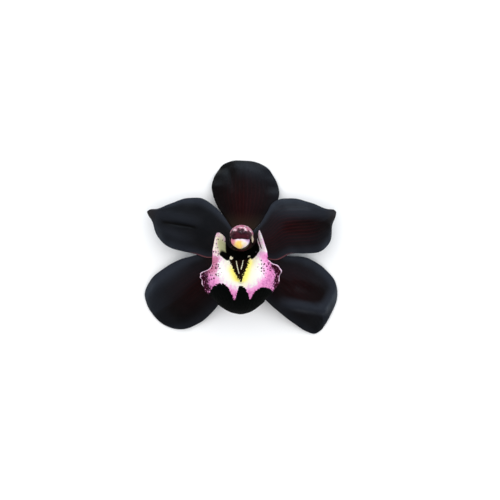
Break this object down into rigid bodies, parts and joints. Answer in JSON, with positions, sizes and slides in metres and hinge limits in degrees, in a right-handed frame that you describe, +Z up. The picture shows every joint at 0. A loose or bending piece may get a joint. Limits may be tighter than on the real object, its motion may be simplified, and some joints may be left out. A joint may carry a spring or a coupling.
{
  "type": "orchid flower",
  "caption": "Single open cymbidium orchid bloom lying face up, with sepals, petals, a frilled lip and a column on a short cut stalk.",
  "frame": {"origin": "on the surface that the bloom lies on, under the middle of its outline", "axes": "+X to the right of someone looking into the flower's face, +Y along the dorsal sepal, +Z up out of the face"},
  "size_m": [0.0998, 0.09, 0.0341],
  "materials": {
    "sepal_skin": "satin",
    "petal_skin": "satin",
    "lip_skin": "satin",
    "column_skin": "satin",
    "anther_skin": "satin",
    "pollen": "satin",
    "ovary_skin": "satin"
  },
  "bodies": {
    "root": {"dorsal_sepal": "sepal_skin", "left_lateral_sepal": "sepal_skin", "right_lateral_sepal": "sepal_skin", "left_petal": "petal_skin", "right_petal": "petal_skin", "lip": "lip_skin", "column": "column_skin", "anther_cap": "anther_skin", "pollinarium": "pollen", "ovary_and_stalk": "ovary_skin"}
  },
  "joints": []
}
